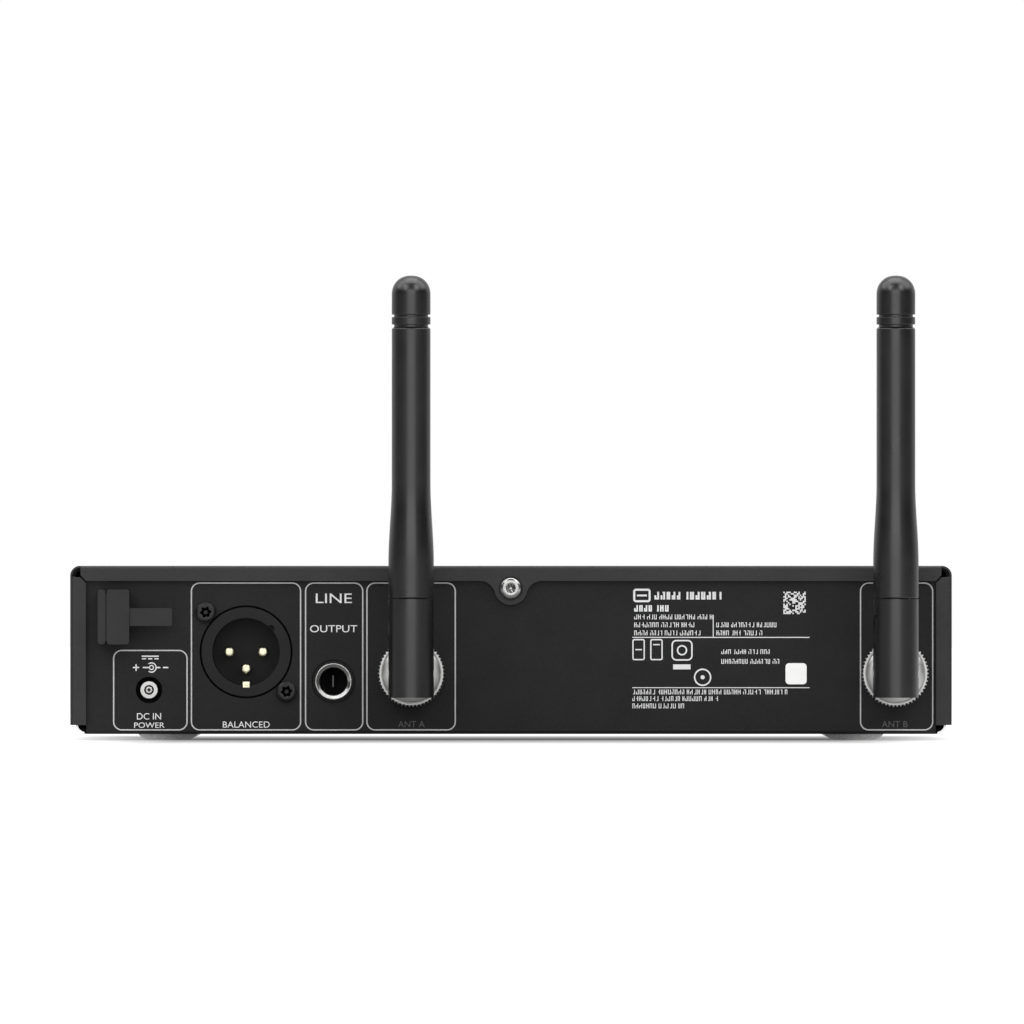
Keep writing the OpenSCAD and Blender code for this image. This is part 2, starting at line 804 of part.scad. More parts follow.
module bnc_sockets() color(nickel) {
    for (x = antenna_x) {
        at = [x, antenna_z];
        difference() {
            union() {
                block([x - 7.2, panel_in - 12, board_z], [x + 7.2, panel_in - 0.05, antenna_z + 7.2]);
                bar_y(socket_r, panel_in - 1, out_u(10.8), at);
                bar_x(0.95, x - 5.5, x + 5.5, [out_u(7), antenna_z]);
            }
            bar_y(4.05, out_u(3), out_u(11), at);
            bar_y(2.47, panel_in - 10, out_u(4), at);
        }
    }
}

module bnc_panel_nuts() color(nickel) {
    for (x = antenna_x) difference() {
        translate([x, out_u(0), antenna_z]) rotate([-90, 0, 0]) cylinder(r = 7.4, h = 1.9, $fn = 6);
        bar_y(socket_r + 0.05, out_u(-1), out_u(3), [x, antenna_z]);
    }
}

module bnc_insulators() color(white) {
    for (x = antenna_x) difference() {
        bar_y(2.45, panel_in - 9.5, out_u(8.8), [x, antenna_z]);
        bar_y(1.07, panel_in - 10, out_u(9), [x, antenna_z]);
    }
}

module bnc_contacts() color(gold) {
    for (x = antenna_x) difference() {
        bar_y(1.05, panel_in - 9.5, out_u(8.6), [x, antenna_z]);
        bar_y(0.72, out_u(2.5), out_u(9), [x, antenna_z]);
    }
}

// ---- antennas: each is drawn with its socket's axis at x = 0, z = 0 ----
nut_u = [2.3, 14];
knurl_u = [3, 9.6];

module knurl_outline() {
    root_r = nut_r - 0.42;
    step = 360 / nut_teeth;
    polygon([for (i = [0:nut_teeth - 1], half = [0, 1])
        let (r = half == 0 ? nut_r : root_r, turn = (i + half / 2) * step) r * [cos(turn), sin(turn)]]);
}

module coupling_nut() color(nickel) {
    dome_low = knurl_u[1] + 1.7;
    dome_h = nut_u[1] - dome_low;
    dome_r = 7;
    dome_top_r = 5;
    steps = 10;
    difference() {
        union() {
            intersection() {
                slab_y(out_u(knurl_u[0]), out_u(knurl_u[1])) knurl_outline();
                turned_y(out_u(knurl_u[0]), [0, 0]) polygon([
                    [0, 0], [nut_r - 0.5, 0], [nut_r + 0.1, 0.6],
                    [nut_r + 0.1, knurl_u[1] - knurl_u[0] - 0.7], [nut_r - 0.7, knurl_u[1] - knurl_u[0]],
                    [0, knurl_u[1] - knurl_u[0]]
                ]);
            }
            bar_y(7.3, out_u(nut_u[0]), out_u(knurl_u[0] + 0.1), [0, 0]);
            bar_y(dome_r - 0.05, out_u(knurl_u[1] - 0.1), out_u(dome_low + 0.1), [0, 0]);
            turned_y(out_u(dome_low), [0, 0]) polygon(concat(
                [[0, 0]],
                [for (i = [0:steps]) let (a = i * 90 / steps)
                    [dome_top_r + (dome_r - dome_top_r) * cos(a), dome_h * sin(a)]],
                [[0, dome_h]]
            ));
        }
        bar_y(5.75, out_u(nut_u[0] - 1), out_u(12.75), [0, 0]);
        bar_y(4.25, out_u(12), out_u(nut_u[1] + 1), [0, 0]);
    }
}

module plug_shell() color(nickel) {
    difference() {
        union() {
            bar_y(3.85, out_u(3.6), out_u(12), [0, 0]);
            bar_y(5.2, out_u(11.2), out_u(12.6), [0, 0]);
            bar_y(4.1, out_u(12.5), out_u(14.5), [0, 0]);
        }
        bar_y(2.75, out_u(3), out_u(15), [0, 0]);
    }
}

module plug_pin() color(gold) {
    turned_y(out_u(3.6), [0, 0]) {
        translate([0, 0.6]) square([0.67, 7.8]);
        intersection() {
            translate([0, 0.67]) circle(0.67);
            square([0.67, 1]);
        }
    }
}

module knuckle() color(plastic_black) {
    tongue_r = 3.7;
    difference() {
        union() {
            bar_y(2.7, out_u(9.2), out_u(14.7), [0, 0]);
            block([-tongue_half, out_u(14.6), -tongue_r], [tongue_half, out_u(hinge_u), tongue_r]);
            bar_x(tongue_r, -tongue_half, tongue_half, [out_u(hinge_u), 0]);
        }
        bar_x(hinge_pin_r + 0.06, -5, 5, [out_u(hinge_u), 0]);
        bar_y(0.7, out_u(9), out_u(12.2), [0, 0]);
    }
}

module hinge_pin() color(nickel) {
    bar_x(hinge_pin_r, -5, 5, [out_u(hinge_u), 0]);
}

// The part of the slotted end that would strike the nut as the antenna folds
module hinge_swing_waste() {
    difference() {
        block([-10, out_u(hinge_u) - 10, -10], [10, out_u(hinge_u), 0]);
        bar_x(hinge_clear_r, -11, 11, [out_u(hinge_u), 0]);
    }
}

module antenna_base() color(plastic_black) {
    spigot_r = 3.5;
    slot_top = 4.2;
    axis_y = out_u(hinge_u);
    difference() {
        union() {
            translate([0, axis_y, -base_drop]) cylinder(r = antenna_base_r, h = base_drop + base_rise);
            translate([0, axis_y, base_rise - 1]) cylinder(r = spigot_r, h = 9);
        }
        block([-slot_half, axis_y - 8, -base_drop - 1], [slot_half, axis_y, slot_top]);
        bar_x(slot_top, -slot_half, slot_half, [axis_y, 0]);
        block([-slot_half, axis_y - 0.1, -base_drop - 1], [slot_half, axis_y + slot_top - 0.2, 0]);
        hinge_swing_waste();
        bar_x(hinge_pin_r + 0.02, -8, 8, [axis_y, 0]);
        translate([0, axis_y, 7]) cylinder(r = 0.85, h = 40);
    }
}

// The flare's radius at height z: an even S from the lower radius to the upper one
function flare_r(z, low, high) =
    let (t = min(1, max(0, (z - low) / (high - low))), s = t * t * (3 - 2 * t))
    antenna_base_r + (antenna_rod_r - antenna_base_r) * s;

// Four points of a groove round the rod at height z, whose lower shoulder slopes down to z - shoulder
groove_w = 0.5;
function groove(z, shoulder) =
    let (r = antenna_rod_r, floor_r = antenna_rod_r - 0.4)
    [[r, z - shoulder], [floor_r, z - groove_w / 2], [floor_r, z + groove_w / 2], [r, z + groove_w / 2]];

module antenna_sleeve() color(plastic_black) {
    foot = base_rise + 0.18;
    flare = [26.75, 45.75];
    flare_steps = 16;
    top = antenna_l;
    tip_h = 4.4;
    tip_steps = 12;
    groove_z = [top - 12.04, top - 9.67];
    axis_y = out_u(hinge_u);
    side = [for (i = [0:flare_steps]) let (z = flare[0] + (flare[1] - flare[0]) * i / flare_steps)
        [flare_r(z, flare[0], flare[1]), z]];
    tip = [for (i = [0:tip_steps]) let (a = i * 90 / tip_steps)
        [antenna_rod_r * pow(cos(a), 0.9), top - tip_h + tip_h * sin(a)]];
    translate([0, axis_y, 0]) difference() {
        rotate_extrude() polygon(concat(
            [[0, foot], [antenna_base_r - 0.2, foot], [antenna_base_r, foot + 0.2]],
            side,
            groove(groove_z[0], 1.1),
            groove(groove_z[1], groove_w / 2),
            tip
        ));
        translate([0, 0, foot - 1]) cylinder(r = 3.55, h = 9.5);
        translate([0, 0, foot]) cylinder(r = 0.85, h = top - 12 - foot);
    }
}

module antenna_radiator() color([0.7, 0.5, 0.3]) {
    translate([0, out_u(hinge_u), 7.1]) cylinder(r = 0.8, h = antenna_l - 20);
}

module at_antenna(index) {
    translate([antenna_x[index], 0, antenna_z]) children();
}

// ---- what is drawn ----
base_tray();
top_cover();
cover_screw();
feet();
press_nuts();
blank_sticker();
front_bezel();
bezel_screws();
display_window();
display_module();
status_light_pipes();
front_board();
key_switches();
encoder_body();
ribbon_cable();
main_board();
board_standoffs();
board_screws();
board_connectors();
rf_shield_cans();
board_chips();
board_capacitors();
xlr_housing();
xlr_pins();
xlr_ground_contact();
xlr_screws();
jack_housing();
jack_ferrule();
jack_springs();
dc_housing();
dc_sleeve();
dc_pin();
cable_hook();
bnc_sockets();
bnc_panel_nuts();
bnc_insulators();
bnc_contacts();
power_button();
sync_button();
escape_button();
encoder_push_plate();
encoder_shaft();
control_knob();
for (index = [0, 1]) at_antenna(index) {
    tag = ["_a", "_b"][index];
    coupling_nut();
    plug_shell();
    plug_pin();
    knuckle();
    hinge_pin();
    antenna_base();
    antenna_sleeve();
    antenna_radiator();
}
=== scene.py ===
"""Half-rack wireless receiver: fine pieces, materials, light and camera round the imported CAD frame."""
import json
import math
import random

import bmesh
import bpy
from mathutils import Matrix, Vector

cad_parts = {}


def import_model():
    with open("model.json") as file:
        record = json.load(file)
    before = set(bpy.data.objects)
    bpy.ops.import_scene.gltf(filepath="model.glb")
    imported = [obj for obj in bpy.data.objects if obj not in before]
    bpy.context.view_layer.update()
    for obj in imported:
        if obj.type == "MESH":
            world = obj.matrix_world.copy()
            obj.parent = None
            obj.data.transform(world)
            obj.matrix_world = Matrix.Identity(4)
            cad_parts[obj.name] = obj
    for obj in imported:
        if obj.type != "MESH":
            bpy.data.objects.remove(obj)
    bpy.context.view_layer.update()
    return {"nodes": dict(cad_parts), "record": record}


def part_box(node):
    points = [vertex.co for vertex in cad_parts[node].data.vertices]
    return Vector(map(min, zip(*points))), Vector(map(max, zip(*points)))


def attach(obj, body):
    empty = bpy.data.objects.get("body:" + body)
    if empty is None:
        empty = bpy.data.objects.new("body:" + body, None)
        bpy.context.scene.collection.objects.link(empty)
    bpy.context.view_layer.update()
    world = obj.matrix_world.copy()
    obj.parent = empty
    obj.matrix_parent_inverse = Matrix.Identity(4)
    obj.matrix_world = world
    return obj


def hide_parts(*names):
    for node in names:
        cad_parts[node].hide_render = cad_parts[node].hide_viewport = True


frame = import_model()
MM = 0.001

# ---- places, in millimetres, worked out from the frame ----


def low(node):
    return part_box(node)[0] / MM


def high(node):
    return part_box(node)[1] / MM


def middle(node):
    return (low(node) + high(node)) / 2


PANEL_Y = high("base_tray").y
REAR_Y = high("top_cover").y
BEZEL_Y = low("front_bezel").y
TAGS = ("a", "b")


# ---- materials ----
class Graph:
    """A material's node tree with a short way to add and join nodes."""

    def __init__(self, name):
        self.material = bpy.data.materials.new(name)
        self.material.use_nodes = True
        self.tree = self.material.node_tree
        self.shader = self.tree.nodes["Principled BSDF"]
        self.place = self.add("ShaderNodeTexCoord").outputs["Object"]

    def add(self, kind, **values):
        node = self.tree.nodes.new(kind)
        for name, value in values.items():
            setattr(node, name, value)
        return node

    def join(self, source, target):
        self.tree.links.new(source, target)

    def noise(self, size_mm, detail=2.0, rough=0.5, stretch=None):
        """Noise whose features are about size_mm across."""
        place = self.place
        if stretch:
            mapping = self.add("ShaderNodeMapping")
            mapping.inputs["Scale"].default_value = stretch
            self.join(place, mapping.inputs["Vector"])
            place = mapping.outputs["Vector"]
        node = self.add("ShaderNodeTexNoise")
        node.inputs["Scale"].default_value = 1 / (size_mm * MM)
        node.inputs["Detail"].default_value = detail
        node.inputs["Roughness"].default_value = rough
        self.join(place, node.inputs["Vector"])
        return node.outputs["Fac"]

    def spread(self, value, low_out, high_out, low_in=0.3, high_in=0.7):
        """Maps low_in to high_in onto low_out to high_out, and holds the end values beyond them."""
        node = self.add("ShaderNodeMapRange")
        ends = {"From Min": low_in, "From Max": high_in, "To Min": low_out, "To Max": high_out}
        for name, number in ends.items():
            node.inputs[name].default_value = number
        self.join(value, node.inputs["Value"])
        return node.outputs["Result"]

    def two_tone(self, value, dark, light):
        ramp = self.add("ShaderNodeValToRGB")
        ramp.color_ramp.elements[0].color = (*dark, 1)
        ramp.color_ramp.elements[1].color = (*light, 1)
        ramp.color_ramp.elements[0].position = 0.25
        ramp.color_ramp.elements[1].position = 0.75
        self.join(value, ramp.inputs["Fac"])
        return ramp.outputs["Color"]

    def arithmetic(self, operation, one, two=None):
        node = self.add("ShaderNodeMath", operation=operation)
        self.join(one, node.inputs[0])
        if two:
            self.join(two, node.inputs[1])
        return node.outputs["Value"]

    def bump(self, height, depth_mm):
        node = self.add("ShaderNodeBump")
        node.inputs["Strength"].default_value = 1
        node.inputs["Distance"].default_value = depth_mm * MM
        self.join(height, node.inputs["Height"])
        return node.outputs["Normal"]

    def set(self, **values):
        """Fixed values on the shader's own sockets."""
        names = {"metal": "Metallic", "rough": "Roughness", "specular": "Specular IOR Level",
                 "coat": "Coat Weight", "coat_rough": "Coat Roughness", "through": "Transmission Weight"}
        for name, value in values.items():
            self.shader.inputs[names[name]].default_value = value

    def to(self, name, output):
        self.join(output, self.shader.inputs[name])


def tones(colour, change):
    return [c * (1 - change) for c in colour], [min(1, c * (1 + change)) for c in colour]


def grained(name, colour, rough, grain_mm, depth_mm, change=0.15, specular=0.5, blotch_mm=9.0):
    """Paint or moulded plastic: an even grain in the surface over slow changes of tone and gloss."""
    graph = Graph(name)
    fine = graph.noise(grain_mm, detail=3, rough=0.6)
    slow = graph.noise(blotch_mm, detail=4)
    graph.to("Base Color", graph.two_tone(graph.spread(fine, 0.2, 0.8), *tones(colour, change)))
    graph.to("Roughness", graph.spread(slow, rough - 0.04, rough + 0.04))
    graph.to("Normal", graph.bump(fine, depth_mm))
    graph.set(specular=specular)
    return graph.material


def plated(name, colour, rough, scratch_mm=0.35, depth_mm=0.002, change=0.06, stretch=(1, 1, 1)):
    """Bright or satin metal plate with fine machining marks."""
    graph = Graph(name)
    marks = graph.noise(scratch_mm, detail=4, rough=0.65, stretch=stretch)
    stain = graph.noise(4.0, detail=3)
    graph.to("Base Color", graph.two_tone(stain, *tones(colour, change)))
    graph.to("Roughness", graph.spread(marks, max(0.03, rough - 0.07), rough + 0.07))
    graph.to("Normal", graph.bump(marks, depth_mm))
    graph.set(metal=1.0)
    return graph.material


def case_paint():
    return grained("case_paint", (0.0115, 0.0115, 0.012), rough=0.5, grain_mm=0.45, depth_mm=0.012,
                   change=0.16, specular=0.34)


def panel_paint():
    return grained("panel_paint", (0.0105, 0.0105, 0.0108), rough=0.6, grain_mm=0.45,
                   depth_mm=0.01, change=0.16, specular=0.18)


def antenna_plastic():
    return grained("antenna_plastic", (0.0035, 0.0035, 0.0037), rough=0.3, grain_mm=0.3,
                   depth_mm=0.0015, change=0.1, specular=0.58)


def bezel_plastic():
    return grained("bezel_plastic", (0.016, 0.016, 0.017), rough=0.5, grain_mm=0.35,
                   depth_mm=0.008, specular=0.4)


def black_plastic():
    return grained("black_plastic", (0.0045, 0.0045, 0.0048), rough=0.5, grain_mm=0.4,
                   depth_mm=0.004, specular=0.22)


def hook_plastic():
    return grained("hook_plastic", (0.008, 0.008, 0.0085), rough=0.42, grain_mm=0.4,
                   depth_mm=0.004, specular=0.28)


def key_plastic():
    return grained("key_plastic", (0.09, 0.09, 0.095), rough=0.45, grain_mm=0.3, depth_mm=0.005)


def foot_rubber():
    return grained("foot_rubber", (0.66, 0.66, 0.65), rough=0.7, grain_mm=0.6, depth_mm=0.01)


def white_plastic():
    return grained("white_plastic", (0.78, 0.77, 0.72), rough=0.45, grain_mm=0.5, depth_mm=0.004, change=0.04)


def sticker_paper():
    return grained("sticker_paper", (0.93, 0.93, 0.92), rough=0.75, grain_mm=0.15, depth_mm=0.002,
                   change=0.05)


def print_ink():
    return grained("print_ink", (0.72, 0.72, 0.72), rough=0.6, grain_mm=0.25, depth_mm=0.002,
                   change=0.08, specular=0.3)


def grey_ink():
    return grained("grey_ink", (0.5, 0.5, 0.5), rough=0.6, grain_mm=0.25, depth_mm=0.002,
                   change=0.08, specular=0.3)


def dim_ink():
    return grained("dim_ink", (0.09, 0.09, 0.09), rough=0.6, grain_mm=0.25, depth_mm=0.002,
                   change=0.08, specular=0.3)


def ribbon_skin():
    """Grey ribbon whose separate wires show as ridges, with painted shade in the grooves between them."""
    graph = Graph("ribbon_skin")
    ridges = graph.add("ShaderNodeTexWave", bands_direction="X")
    ridges.inputs["Scale"].default_value = 0.314 / (1.27 * MM)
    graph.join(graph.place, ridges.inputs["Vector"])
    # Painted shade: the colour is darker in the grooves and lighter on the ridge tops, following the bump.
    graph.to("Base Color", graph.two_tone(ridges.outputs["Fac"], (0.24, 0.24, 0.25), (0.46, 0.46, 0.47)))
    graph.to("Normal", graph.bump(ridges.outputs["Fac"], 0.15))
    graph.set(rough=0.5)
    return graph.material


def bright_nickel():
    return plated("bright_nickel", (0.34, 0.338, 0.334), rough=0.24)


def satin_nickel():
    return plated("satin_nickel", (0.42, 0.417, 0.41), rough=0.36)


def zinc_steel():
    return plated("zinc_steel", (0.56, 0.57, 0.57), rough=0.36)


def bare_edge():
    return plated("bare_edge", (0.66, 0.66, 0.65), rough=0.45)


def dark_steel():
    return plated("dark_steel", (0.17, 0.17, 0.175), rough=0.4)


def black_oxide():
    return plated("black_oxide", (0.03, 0.03, 0.031), rough=0.42)


def pale_gold():
    return plated("pale_gold", (0.62, 0.60, 0.44), rough=0.36, scratch_mm=0.9, depth_mm=0.0006)


def bare_copper():
    return plated("bare_copper", (0.72, 0.40, 0.24), rough=0.3)


def tin_plate():
    return plated("tin_plate", (0.62, 0.62, 0.60), rough=0.3, scratch_mm=2.0)


def drawn_aluminium():
    return plated("drawn_aluminium", (0.66, 0.67, 0.69), rough=0.35, stretch=(1, 1, 0.1))


def smoked_acrylic():
    graph = Graph("smoked_acrylic")
    haze = graph.noise(30, detail=2)
    graph.to("Base Color", graph.two_tone(haze, (0.006, 0.006, 0.008), (0.010, 0.010, 0.013)))
    graph.to("Roughness", graph.spread(haze, 0.04, 0.08))
    graph.set(coat=0.6, coat_rough=0.03)
    return graph.material


def display_glass():
    graph = Graph("display_glass")
    haze = graph.noise(20)
    graph.to("Base Color", graph.two_tone(haze, (0.03, 0.045, 0.05), (0.04, 0.06, 0.065)))
    graph.to("Roughness", graph.spread(haze, 0.1, 0.2))
    return graph.material


def frosted_light_pipe():
    graph = Graph("frosted_light_pipe")
    frost = graph.noise(0.3, detail=3)
    graph.to("Base Color", graph.two_tone(frost, (0.66, 0.72, 0.68), (0.74, 0.8, 0.76)))
    graph.to("Roughness", graph.spread(frost, 0.35, 0.5))
    graph.set(through=0.3)
    return graph.material


def circuit_board():
    """Solder mask with the faint relief of the copper tracks under it."""
    graph = Graph("circuit_board")
    cells = graph.add("ShaderNodeTexVoronoi", distance="CHEBYCHEV")
    cells.inputs["Scale"].default_value = 1 / (2.4 * MM)
    graph.join(graph.place, cells.inputs["Vector"])
    tracks = graph.spread(cells.outputs["Distance"], 0, 1, 0.35, 0.42)
    graph.to("Base Color", graph.two_tone(tracks, (0.012, 0.075, 0.035), (0.03, 0.15, 0.07)))
    graph.to("Normal", graph.bump(tracks, 0.02))
    graph.set(rough=0.35)
    return graph.material


SKINS = {}


def skin(make):
    """Each material is made once."""
    if make.__name__ not in SKINS:
        SKINS[make.__name__] = make()
    return SKINS[make.__name__]


NODE_SKIN = {
    "base_tray": panel_paint, "top_cover": case_paint, "cover_screw": bright_nickel, "feet": foot_rubber,
    "press_nuts": zinc_steel, "blank_sticker": sticker_paper, "front_bezel": bezel_plastic,
    "bezel_screws": zinc_steel, "display_window": smoked_acrylic, "display_module": display_glass,
    "status_light_pipes": frosted_light_pipe, "front_board": circuit_board, "key_switches": black_plastic,
    "encoder_body": zinc_steel, "ribbon_cable": ribbon_skin, "main_board": circuit_board,
    "board_standoffs": zinc_steel, "board_screws": zinc_steel, "board_connectors": white_plastic,
    "rf_shield_cans": tin_plate, "board_chips": black_plastic, "board_capacitors": drawn_aluminium,
    "xlr_housing": black_plastic, "xlr_pins": pale_gold, "xlr_ground_contact": pale_gold,
    "xlr_screws": black_oxide, "jack_housing": black_plastic, "jack_ferrule": bright_nickel,
    "jack_springs": dark_steel, "dc_housing": black_plastic, "dc_sleeve": satin_nickel,
    "dc_pin": satin_nickel,
    "cable_hook": hook_plastic, "bnc_sockets": satin_nickel, "bnc_panel_nuts": zinc_steel,
    "bnc_insulators": white_plastic, "bnc_contacts": pale_gold, "power_button": key_plastic,
    "sync_button": key_plastic, "escape_button": key_plastic, "encoder_push_plate": white_plastic,
    "encoder_shaft": bright_nickel, "control_knob": bezel_plastic,
}
for tag in TAGS:
    NODE_SKIN.update({
        f"coupling_nut_{tag}": satin_nickel, f"plug_shell_{tag}": satin_nickel, f"plug_pin_{tag}": pale_gold,
        f"knuckle_{tag}": black_plastic, f"hinge_pin_{tag}": zinc_steel,
        f"antenna_base_{tag}": antenna_plastic,
        f"antenna_sleeve_{tag}": antenna_plastic, f"antenna_radiator_{tag}": bare_copper,
    })


def dress_nodes():
    for node, make in NODE_SKIN.items():
        mesh = frame["nodes"][node].data
        mesh.materials.clear()
        mesh.materials.append(skin(make))


# ---- mesh helpers ----
BODY_OF = {node: body for body, nodes in frame["record"]["behaviour"]["bodies"].items() for node in nodes}


def even_normals(mesh, limit_deg=38):
    """Corner normals weighted by face area, so that flats stay flat and only the narrow bevels bend."""
    limit = math.cos(math.radians(limit_deg))
    faces_at = [[] for _ in mesh.vertices]
    for face in mesh.polygons:
        for vertex in face.vertices:
            faces_at[vertex].append((face.normal.copy(), face.area))
    normals = [None] * len(mesh.loops)
    for face in mesh.polygons:
        face.use_smooth = True
        for loop in face.loop_indices:
            total = Vector((0, 0, 0))
            for normal, area in faces_at[mesh.loops[loop].vertex_index]:
                if normal.dot(face.normal) > limit:
                    total += normal * area
            normals[loop] = total.normalized() if total.length > 0 else face.normal
    mesh.normals_split_custom_set(normals)


def as_piece(name, bm, material, body=None, stands_for=()):
    bmesh.ops.recalc_face_normals(bm, faces=bm.faces)
    mesh = bpy.data.meshes.new(name)
    bm.to_mesh(mesh)
    bm.free()
    mesh.materials.append(material)
    even_normals(mesh)
    piece = bpy.data.objects.new(name, mesh)
    bpy.context.scene.collection.objects.link(piece)
    if body:
        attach(piece, body)
    if stands_for:
        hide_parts(*stands_for)
    return piece


def stand_in(node, bm):
    """Turns a mesh into the piece that stands for a CAD node."""
    return as_piece("fine_" + node, bm, skin(NODE_SKIN[node]), BODY_OF[node], [node])


def refined(node, width_mm, angle_deg=28, segments=2):
    """A copy of a CAD node with its hard edges rounded off, which stands for the node."""
    bm = bmesh.new()
    bm.from_mesh(frame["nodes"][node].data)
    bmesh.ops.remove_doubles(bm, verts=bm.verts, dist=1e-6)
    bmesh.ops.dissolve_limit(bm, angle_limit=math.radians(0.5), verts=bm.verts, edges=bm.edges)
    hard = [e for e in bm.edges if len(e.link_faces) == 2 and e.calc_face_angle(0) > math.radians(angle_deg)]
    bmesh.ops.bevel(bm, geom=hard, offset=width_mm * MM, segments=segments, profile=0.5, affect="EDGES",
                    clamp_overlap=True)
    return stand_in(node, bm)


def eased(corners, steps=4):
    """A profile whose corners, given as (radius, along, ease), are rounded off over the distance ease."""
    out = []
    for i, corner in enumerate(corners):
        here = Vector(corner[:2])
        if len(corner) < 3 or i in (0, len(corners) - 1):
            out.append(tuple(here))
            continue
        before, after = Vector(corners[i - 1][:2]) - here, Vector(corners[i + 1][:2]) - here
        start = here + before.normalized() * min(corner[2], before.length / 2)
        end = here + after.normalized() * min(corner[2], after.length / 2)
        for k in range(steps + 1):
            t = k / steps
            out.append(tuple(start * (1 - t) ** 2 + here * 2 * t * (1 - t) + end * t ** 2))
    return out


def spot(place, axis, u, v, along):
    offset = {"X": (along, u, v), "Y": (u, along, v), "Z": (u, v, along)}[axis]
    return (Vector(place) + Vector(offset)) * MM


def turned(bm, profile, place, axis="Y", around=96, wave=None, closed=False):
    """Turns a profile of (radius, along) points about an axis.

    wave(angle, radius, along) may change a point's radius.
    """
    rings = []
    for radius, along in profile:
        if radius < 1e-4:
            rings.append([bm.verts.new(spot(place, axis, 0, 0, along))])
            continue
        ring = []
        for k in range(around):
            angle = 2 * math.pi * k / around
            r = wave(angle, radius, along) if wave else radius
            ring.append(bm.verts.new(spot(place, axis, r * math.cos(angle), r * math.sin(angle), along)))
        rings.append(ring)
    pairs = list(zip(rings, rings[1:])) + ([(rings[-1], rings[0])] if closed else [])
    for one, two in pairs:
        for k in range(around):
            corners = [one[k % len(one)], one[(k + 1) % len(one)], two[(k + 1) % len(two)], two[k % len(two)]]
            bm.faces.new(list(dict.fromkeys(corners)))
    if not closed:
        for ring in (rings[0], rings[-1]):
            if len(ring) > 1:
                bm.faces.new(ring)


# ---- antennas ----
def sleeve(tag):
    """The smooth upper part: a slow flare, two grooves and a domed end."""
    node = f"antenna_sleeve_{tag}"
    foot, top, at = low(node).z, high(node).z, middle(node)
    hinge_z = middle(f"hinge_pin_{tag}").z
    wide, thin = high(node).x - at.x, 4.65
    flare_foot, flare_long = 26.75, 19
    groove_deep, groove_half, dome_tall = 0.55, 0.25, 4.4
    corners = [(0.86, foot), (wide - 0.22, foot, 0.05), (wide, foot + 0.22, 0.1)]
    for i in range(25):
        t = i / 24
        corners.append((wide + (thin - wide) * t * t * (3 - 2 * t), hinge_z + flare_foot + flare_long * t))
    for groove_z, shoulder in ((top - 12.04, 0.75), (top - 9.67, 0.3)):
        corners += [(thin, groove_z - shoulder, 0.12), (thin - groove_deep, groove_z - groove_half, 0.05),
                    (thin - groove_deep, groove_z + groove_half, 0.05), (thin, groove_z + 0.3, 0.14)]
    for i in range(19):
        a = math.radians(i * 5)
        corners.append((thin * max(0, math.cos(a)) ** 0.9, top - dome_tall + dome_tall * math.sin(a)))
    bm = bmesh.new()
    turned(bm, eased(corners, 3), (at.x, at.y, 0), "Z", 96)
    stand_in(node, bm)


def coupling_nut(tag):
    """The knurled ring with its turned dome, and a fine groove between the two."""
    node = f"coupling_nut_{tag}"
    at, out = middle(node), high(node).x - middle(node).x
    root, teeth = out - 0.42, 54

    def tooth(angle, radius, along):
        if radius <= root:
            return radius
        share = min(1, max(0, 0.5 + 0.85 * math.cos(teeth * angle)))
        return root + (radius - root) * share

    corners = [(5.75, 2.3), (7.3, 2.3, 0.2), (7.3, 3.0, 0.05), (7.6, 3.0, 0.05), (out, 3.6, 0.15),
               (out, 9.1, 0.15), (out - 0.3, 9.6, 0.15), (7.16, 9.6, 0.06), (7.16, 8.9, 0.02),
               (6.98, 8.9, 0.02), (6.98, 9.7, 0.06)]
    for i in range(1, 19):
        a = math.radians(i * 5)
        corners.append((4.9 + 2.08 * math.cos(a), 9.6 + 0.9 * math.sin(a)))
    corners += [(4.75, 14.0, 0.2), (4.25, 14.0, 0.15), (4.25, 12.75, 0.05), (5.75, 12.75, 0.05)]
    bm = bmesh.new()
    turned(bm, eased(corners, 3), (at.x, PANEL_Y, at.z), "Y", teeth * 8, tooth, closed=True)
    stand_in(node, bm)


# ---- rear sockets ----
def jack_ferrule():
    at, back = middle("jack_ferrule"), low("jack_ferrule").y - PANEL_Y
    out, front = high("jack_ferrule").x - at.x, high("jack_ferrule").y - PANEL_Y
    corners = [(3.2, back), (out, back, 0.1), (out, front, 0.2), (out - 0.28, front, 0.08),
               (3.42, front - 0.62, 0.1), (3.2, front - 1.0, 0.15), (3.2, front - 2.0, 0.1)]
    bm = bmesh.new()
    turned(bm, eased(corners), (at.x, PANEL_Y, at.z), "Y", 96, closed=True)
    stand_in("jack_ferrule", bm)


def power_contacts():
    sleeve_at, r = middle("dc_sleeve"), high("dc_sleeve").x - middle("dc_sleeve").x
    back, front = low("dc_sleeve").y, high("dc_sleeve").y
    bm = bmesh.new()
    ring = [(1.18, back), (r, back, 0.05), (r, front, 0.14), (1.18, front, 0.14)]
    turned(bm, eased(ring), (sleeve_at.x, 0, sleeve_at.z), "Y", 64, closed=True)
    stand_in("dc_sleeve", bm)
    pin_at, r = middle("dc_pin"), high("dc_pin").x - middle("dc_pin").x
    back, front = low("dc_pin").y, high("dc_pin").y
    bm = bmesh.new()
    pin = [(0, back), (r, back, 0.05), (r, front, 0.25), (0.4, front, 0.06), (0.34, front - 1.6, 0.05),
           (0, front - 1.8)]
    turned(bm, eased(pin), (pin_at.x, 0, pin_at.z), "Y", 48)
    stand_in("dc_pin", bm)


